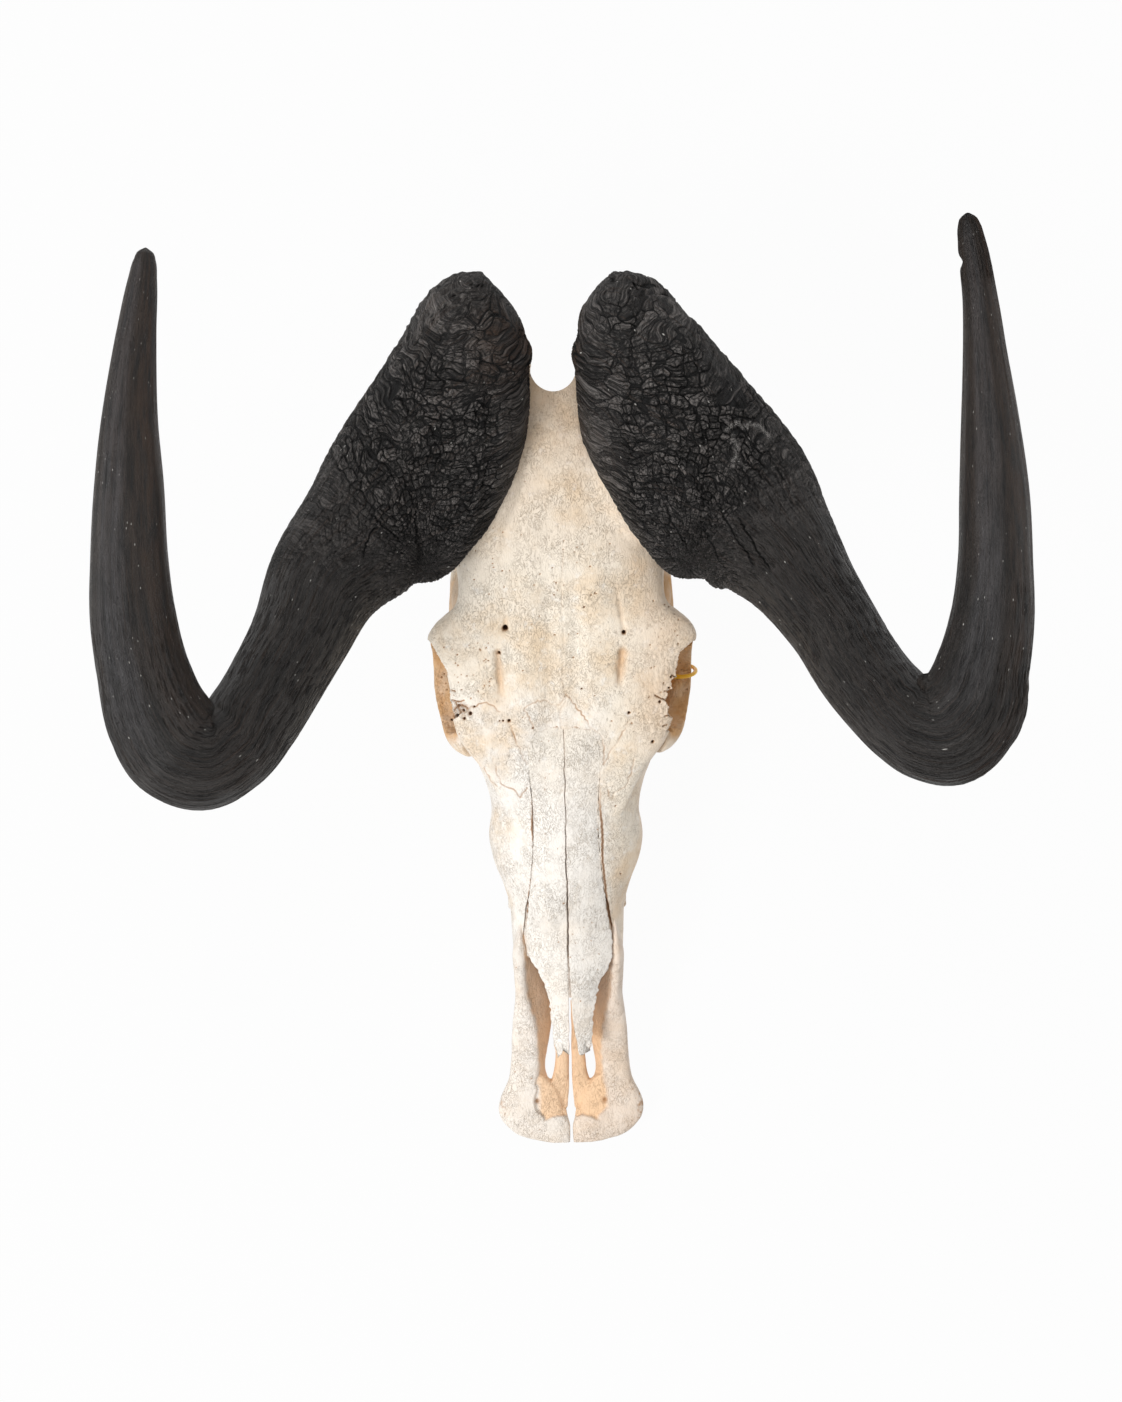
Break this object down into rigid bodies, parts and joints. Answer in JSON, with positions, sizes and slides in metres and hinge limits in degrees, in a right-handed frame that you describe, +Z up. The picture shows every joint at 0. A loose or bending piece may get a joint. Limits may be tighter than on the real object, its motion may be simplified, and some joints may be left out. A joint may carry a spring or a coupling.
{
  "type": "black wildebeest skull",
  "caption": "Weathered antelope skull with rough bossed horns that hook forward and turn up; lies on its cheek teeth, no lower jaw.",
  "frame": {"origin": "middle of the footprint box, on the surface that the skull lies on", "axes": "+X to the viewer's right in the picture, across the horns; -Y along the face to the lips; +Z up, out of the forehead"},
  "size_m": [0.5064, 0.523, 0.3016],
  "materials": {
    "bone": "dry weathered ivory bone, stands in for real bone",
    "pale_bone": "bleached greyish bone, stands in for real bone",
    "horn": "black-brown keratin, cracked boss and fibrous shaft",
    "yellow_line": "smooth yellow plastic line"
  },
  "bodies": {
    "root": {"cranium": "bone", "maxilla_left": "bone", "maxilla_right": "bone", "nasal_left": "pale_bone", "nasal_right": "pale_bone", "premaxilla_left": "pale_bone", "premaxilla_right": "pale_bone", "horn_left": "horn", "horn_right": "horn", "tie_loop": "yellow_line"}
  },
  "joints": []
}
